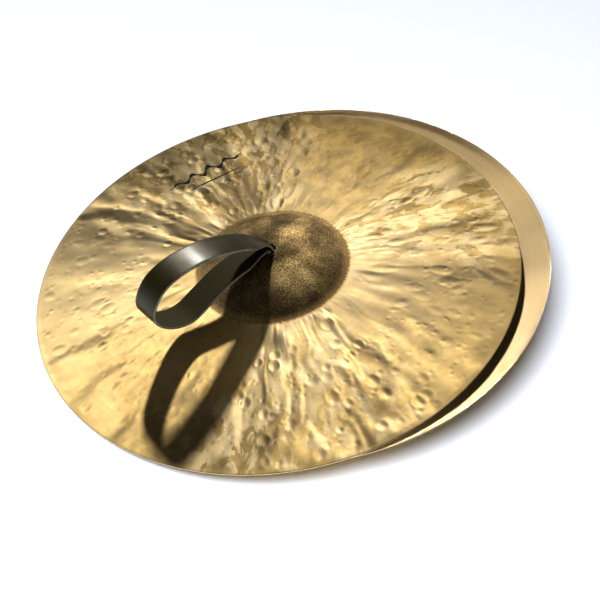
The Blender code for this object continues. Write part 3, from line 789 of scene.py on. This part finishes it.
def make_band(name, place, path, width_at, thickness, body, nodes, seed, blend=None, twist=None, cup=None, wave=0.00008, grain_side=1):
    """A flat leather strip swept along path: (n, 3) points of its middle line, in place's frame.

    The strip lies across the frame's y axis. width_at, twist and cup are functions of (index fraction, point).
    """
    rng_ = np.random.default_rng(seed)
    count = len(path)
    tangent = np.gradient(path, axis=0)
    tangent /= np.linalg.norm(tangent, axis=1)[:, None]
    across = np.tile([0.0, 1.0, 0.0], (count, 1))
    across -= tangent * (across * tangent).sum(1)[:, None]
    across /= np.linalg.norm(across, axis=1)[:, None]
    through = np.cross(across, tangent) * grain_side
    edge_wave = [np.convolve(rng_.standard_normal(count + 40), np.hanning(25) / 6, "same")[20:20 + count] for _ in range(2)]
    verts, kinds = [], None
    for k in range(count):
        f = k / (count - 1)
        w = width_at(f, path[k])
        pts, kinds = section(w, thickness)
        u, v = pts[:, 0].copy(), pts[:, 1].copy()
        u += np.where(u > 0, edge_wave[0][k], -edge_wave[1][k]) * wave * np.clip(np.abs(u) / (w / 2), 0, 1)
        if cup is not None:
            v += cup(f, path[k]) * (u / (w / 2)) ** 2
        if twist is not None:
            a = twist(f, path[k])
            u, v = u * math.cos(a) - v * math.sin(a), u * math.sin(a) + v * math.cos(a)
        verts.append(path[k] + u[:, None] * across[k] + v[:, None] * through[k])
    m = len(kinds)
    verts = np.concatenate(verts)
    faces, mats = [], []
    for k in range(count - 1):
        for i in range(m):
            j = (i + 1) % m
            faces.append((k * m + i, k * m + j, (k + 1) * m + j, (k + 1) * m + i))
            mats.append(SLOT_OF[kinds[i]])
    faces.append(tuple(range(m - 1, -1, -1)))
    mats.append(2)
    faces.append(tuple(range((count - 1) * m, count * m)))
    mats.append(2)
    mesh = bpy.data.meshes.new(name)
    mesh.from_pydata(verts.tolist(), [], faces)
    mesh.transform(place)
    mesh.polygons.foreach_set("material_index", mats)
    for mat in (M_GRAIN, M_FLESH, M_CUT):
        mesh.materials.append(mat)
    mesh.update()
    import bmesh
    bm = bmesh.new()
    bm.from_mesh(mesh)
    bmesh.ops.recalc_face_normals(bm, faces=bm.faces)
    bm.to_mesh(mesh)
    bm.free()
    mesh.shade_smooth()
    mesh.set_sharp_from_angle(angle=math.radians(55))
    piece = bpy.data.objects.new(name, mesh)
    bpy.context.scene.collection.objects.link(piece)
    if blend:
        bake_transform(piece)
    else:
        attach(piece, body)
    if nodes:
        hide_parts(*nodes)
    return piece


def neck(distance):
    return NECK_W + (STRAP_W - NECK_W) * float(smoothstep((distance - 0.003) / 0.034))


front_path = [
    (-1.25, -4.0), (-1.25, -1.0), (-1.2, 1.5), (-0.6, 4.2), (1.4, 7.6), (5.6, 12.6), (12.0, 18.4),
    (21.0, 25.5), (36.0, 35.0), (59.0, 45.5), (79.0, 50.0), (100.0, 51.2), (118.0, 47.0),
    (129.0, 38.0), (135.3, 27.0), (135.5, 17.0), (130.0, 7.5), (121.0, -1.0), (109.0, -7.0),
    (96.0, -8.3), (77.0, -2.2), (56.0, 4.5), (38.0, 6.8), (20.0, 6.2), (9.5, 5.0), (4.2, 3.9),
    (1.7, 1.9), (1.25, -0.8), (1.25, -4.0),
]
line = catmull([(x * MM, 0.0, z * MM) for x, z in front_path], 12)
line, _ = resample(line, 0.0014)
front_hinge = Vector(JOINT["front_strap_tilt"]["pos_m"])


def to_world(place, x, z):
    return tuple(place @ Vector((x * MM, 0.0, z * MM)))


front_strap = make_band(
    "front_hand_strap", FRONT_STRAP, line,
    lambda f, p: neck(math.hypot(p[0], p[2])), STRAP_T,
    "front_strap", ("front_strap_loop",), 3,
    blend=("front_knot", "front_strap", to_world(FRONT_STRAP, -1.0, 3.0), to_world(FRONT_STRAP, 4.5, 7.5)),
    cup=lambda f, p: 0.0008 * float(1 - smoothstep((math.hypot(p[0], p[2]) - 0.008) / 0.03)),
    grain_side=-1,
)

# The rear strap lies on the floor, so its line is set out from the floor.
LEAN = math.atan2(-JOINT["rear_strap_swivel"]["axis"][0], JOINT["rear_strap_swivel"]["axis"][2])
STUB = JOINT["rear_strap_swivel"]["pos_m"][2] / MM


def from_floor(x, z):
    """x from the rear hole along the floor and z above it, in mm, in the strap's frame."""
    dz = z - STUB
    return (x * math.cos(LEAN) + dz * math.sin(LEAN), x * math.sin(LEAN) - dz * math.cos(LEAN))


floor_leg = [(18.0, 1.5), (45.0, 1.45), (75.0, 1.45), (105.0, 1.7)]
loop = [
    (124.0, 4.2), (137.0, 12.0), (140.5, 22.5), (135.0, 32.0), (121.0, 39.0), (102.0, 40.5),
    (80.0, 35.0), (60.0, 26.0), (40.0, 15.5), (24.0, 8.7), (14.5, 6.0), (8.5, 4.5),
]
rear_path = [(-1.25, -5.0), (-1.25, -1.0)]
rear_path += [from_floor(x, z) for x, z in [(-0.6, 3.6), (0.8, 2.0), (3.5, 1.5), (9.0, 1.45)]]
rear_path += [from_floor(x, z) for x, z in floor_leg + loop]
rear_path += [from_floor(x, z) for x, z in [(4.4, 4.2), (2.3, 5.2)]]
rear_path += [(1.25, -1.6), (1.25, -5.0)]
line, _ = resample(catmull([(x * MM, 0.0, z * MM) for x, z in rear_path], 12), 0.0014)
rear_strap = make_band(
    "rear_hand_strap", REAR_STRAP, line,
    lambda f, p: neck(math.hypot(p[0], p[2])), STRAP_T,
    "rear_strap", ("rear_strap_loop",), 4,
    blend=("rear_knot", "rear_strap", to_world(REAR_STRAP, *from_floor(3.0, 3.0)), to_world(REAR_STRAP, *from_floor(9.0, 3.0))),
    grain_side=-1,
)


# ---------------------------------------------------------------- square knots inside the bells
def make_knot(side, place, body):
    """Four thongs: out of the hole, folded over, under one neighbour and over the next, and away."""
    top = float(inner(HOLE)) - APEX  # inside of the bell at the hole, in the strap frame's z
    pad = -0.0012 - 0.0022
    t = 0.0021
    for quarter in range(4):
        rng_ = np.random.default_rng(quarter + (10 if side == "front" else 20))
        low, high = 0.3 + 1.1, 0.3 + 1.1 + 2.5
        droop = rng_.uniform(0.0, 2.5)
        pts = [
            (-0.6, 2.2, -3.2), (-1.2, 2.6, -2.0), (-3.2, 3.6, -1.1), (-8.0, 6.2, -0.9), (-11.6, 7.0, -0.8),
            (-13.2, 7.0, -0.2), (-13.3, 7.0, 0.7), (-12.0, 7.0, low), (-8.0, 7.0, low), (-2.6, 7.0, low),
            (2.6, 7.0, high), (8.0, 7.0, high), (12.5, 7.0, high), (19.0, 7.0, high + 0.6),
            (27.0, 7.0 + rng_.normal(0, 0.5), high + 2.4), (35.0, 7.0 + rng_.normal(0, 0.8), high + 5.0 + droop * 0.4),
            (44.0, 7.0 + rng_.normal(0, 1.2), high + 8.6 + droop), (51.0, 7.0 + rng_.normal(0, 1.6), high + 11.0 + droop * 1.3),
        ]
        line = catmull([(a * MM, s * MM, top + pad - q * MM) for a, s, q in pts], 10)
        line, _ = resample(line, 0.0009)
        turn = Matrix.Rotation(math.pi / 2 * quarter, 4, "Z")

        def width(f, p):
            start = float(smoothstep((p[0] + 0.004) / -0.006)) if f < 0.3 else 1.0
            end = 1.0 - 0.55 * float(smoothstep((f - 0.93) / 0.07))
            return 0.0088 * (0.55 + 0.45 * start) * end

        make_band(
            f"{side}_knot_thong_{quarter + 1}", place @ turn, line, width, t, body,
            (f"{side}_thong_{quarter + 1}",) + ((f"{side}_strap_throat",) if quarter == 0 else ()),
            30 + quarter,

        )


make_knot("front", FRONT_STRAP, "front_knot")
make_knot("rear", REAR_STRAP, "rear_knot")

# ---------------------------------------------------------------- a plain printed rule on the front bow
CAM_TURN = math.radians(6.0)  # the picture's long axis against the front cymbal's x axis


def on_bow(px, py):
    r = np.hypot(px, py)
    return outer(r) + sample(relief_front, px, py)


def ink(name, centre, direction, outline):
    """A thin printed shape on the bow: outline(u) gives half the height at u in -1..1."""
    steps, across = 260, 6
    ux = np.array([math.cos(direction), math.sin(direction)])
    uy = np.array([-ux[1], ux[0]])
    verts, faces = [], []
    half_length = outline["half"]
    for i in range(steps + 1):
        u = -1 + 2 * i / steps
        h = max(outline["height"](u), 0.00004)
        mid = outline["middle"](u)
        for j in range(across + 1):
            w = mid + h * (-1 + 2 * j / across)
            p = np.array(centre) + ux * u * half_length + uy * w
            verts.append((p[0], p[1], float(on_bow(np.array([p[0]]), np.array([p[1]]))[0]) + 0.00006))
    for i in range(steps):
        for j in range(across):
            a = i * (across + 1) + j
            faces.append((a, a + across + 1, a + across + 2, a + 1))
    mesh = bpy.data.meshes.new(name)
    mesh.from_pydata(verts, [], faces)
    mesh.transform(FRONT)
    n = Nodes(name + "_ink")
    where = n.new("TexCoord").outputs["Object"]
    worn = n.noise(where, 1600.0, 3.0, 0.6)
    n.shader(
        Base_Color=n.mix(n.span(worn, 0.55, 0.8, 0.0, 0.5), (0.008, 0.006, 0.005), (0.035, 0.024, 0.010)),
        Roughness=n.span(worn, 0.3, 0.7, 0.55, 0.70), Specular_IOR_Level=0.2,
    )
    mesh.materials.append(n.mat)
    mesh.update()
    mesh.shade_smooth()
    piece = bpy.data.objects.new(name, mesh)
    bpy.context.scene.collection.objects.link(piece)
    shell = piece.modifiers.new("ink", "SOLIDIFY")
    shell.thickness = 0.00004
    shell.offset = 1.0
    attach(piece, "front_cymbal")
    return piece


RULE = math.atan2(23.4, 78.6)
ink("front_wave_rule", (-0.0277, 0.1625), RULE, {
    "half": 0.0415,
    "height": lambda u: (0.00110 + 0.00190 * abs(math.sin(4.5 * math.pi * u))) * (1 - u * u) ** 0.6,
    "middle": lambda u: 0.0052 * math.sin(4.5 * math.pi * u) * (1 - abs(u)) ** 0.55,
})
ink("front_rule_short", (-0.0222, 0.1452), math.atan2(13.4, 53.7), {
    "half": 0.0270, "height": lambda u: 0.00105 * (1 - abs(u)) ** 0.35, "middle": lambda u: 0.0,
})

# ---------------------------------------------------------------- floor, camera, light
floor_mesh = bpy.data.meshes.new("floor")
floor_mesh.from_pydata([(-4, -4, 0), (4, -4, 0), (4, 4, 0), (-4, 4, 0)], [], [(0, 1, 2, 3)])
floor = bpy.data.objects.new("floor", floor_mesh)
bpy.context.scene.collection.objects.link(floor)
n = Nodes("studio_floor")
n.shader(Base_Color=(0.82, 0.86, 0.95), Roughness=0.75, Specular_IOR_Level=0.2)
floor_mesh.materials.append(n.mat)

# The camera's place against the front cymbal.
EX = Vector((0.97679939, 0.21415635, 0.0))
EY = Vector((-0.15446322, 0.70453003, -0.69266049))
EN = Vector((-0.14833764, 0.67659034, 0.72126379))
CENTRE = Vector((-0.02191538, 0.01573373, -2.2))
c, s = math.cos(CAM_TURN), math.sin(CAM_TURN)
seen_x, seen_y = EX * c + EY * s, EY * c - EX * s
in_camera = Matrix((seen_x, seen_y, EN)).transposed()
turn = FRONT.to_3x3() @ in_camera.inverted()
camera_data = bpy.data.cameras.new("camera")
camera = bpy.data.objects.new("camera", camera_data)
bpy.context.scene.collection.objects.link(camera)
camera_data.sensor_width = 36.0
camera_data.lens = 2357.790453536765 * 36.0 / 600.0
camera_data.clip_start, camera_data.clip_end = 0.1, 20.0
camera_matrix = turn.to_quaternion().to_matrix().to_4x4()
camera_matrix.translation = FRONT.translation - turn @ CENTRE
camera.matrix_world = camera_matrix
bpy.context.scene.camera = camera


def from_plate(v):
    """A direction given along the picture's long axis, across it and out of the front plate, in the row frame."""
    x, y, z = v
    return (FRONT.to_3x3() @ Vector((c * x + s * y, c * y - s * x, z))).normalized()


def area(name, direction, distance, size, power, colour=(1, 1, 1), size_y=None, aim=(0, 0, 0.06)):
    data = bpy.data.lights.new(name, "AREA")
    data.energy = power
    data.color = colour
    data.shape = "RECTANGLE" if size_y else "DISK"
    data.size = size
    if size_y:
        data.size_y = size_y
    lamp = bpy.data.objects.new(name, data)
    bpy.context.scene.collection.objects.link(lamp)
    where = Vector(aim) + direction * distance
    lamp.matrix_world = Matrix.Translation(where) @ (-direction).to_track_quat("-Z", "Y").to_matrix().to_4x4()
    return lamp


def only_for(lamp, pieces, name):
    """The lamp lights these pieces and no others; everything still stands in its way."""
    group = bpy.data.collections.new(name)
    for piece in pieces:
        group.objects.link(piece)
    lamp.light_linking.receiver_collection = group


pieces = [o for o in bpy.data.objects if o.type == "MESH" and o is not floor]
def only_for(lamp, pieces, name):
    """The lamp lights these pieces and no others; everything still stands in its way."""
    group = bpy.data.collections.new(name)
    for piece in pieces:
        group.objects.link(piece)
    lamp.light_linking.receiver_collection = group


pieces = [o for o in bpy.data.objects if o.type == "MESH" and o is not floor]
KEY = from_plate((0.102, 0.778, 0.62))
# The key lamp has a grid and is aimed past the near side, so that it falls off towards the far side.
past = from_plate((math.cos(math.radians(-104)), math.sin(math.radians(-104)), 0.0))
past = (past - KEY * past.dot(KEY)).normalized()
key = area("key", KEY, 2.6, 0.17, 9.0, (1.0, 0.985, 0.95))
beam = (-KEY + past * math.tan(math.radians(18.0))).normalized()
key.matrix_world = (
    Matrix.Translation(key.matrix_world.translation) @ beam.to_track_quat("-Z", "Y").to_matrix().to_4x4()
)
key.data.spread = math.radians(45.0)
only_for(key, pieces, "lit_by_key")

# A large soft lamp beside the camera keeps the floor's shadow close to the pair.
to_camera = (camera_matrix.translation - FRONT.translation).normalized()
image_up, image_right = turn @ Vector((0, 1, 0)), turn @ Vector((1, 0, 0))
soft_from = (to_camera + image_up * 0.22 - image_right * 0.12).normalized()
soft = area("soft", soft_from, 2.9, 1.15, 165.0)
only_for(soft, [floor], "lit_by_soft")
fill = area("fill", (to_camera - image_right * 0.5 + image_up * 0.1).normalized(), 2.4, 0.9, 1.3)
only_for(fill, pieces, "lit_by_fill")

low = area("low", (to_camera + image_right * 0.25).normalized(), 2.4, 0.9, 22.0, (1.0, 0.97, 0.90))
only_for(low, [rear_plate], "lit_by_low")

world = bpy.data.worlds.new("studio")
bpy.context.scene.world = world
world.use_nodes = True
back = world.node_tree.nodes["Background"]
back.inputs["Color"].default_value = (1.0, 0.99, 0.96, 1.0)
back.inputs["Strength"].default_value = 0.024

bpy.context.scene.view_settings.view_transform = "Standard"
bpy.context.scene.view_settings.exposure = 0.0
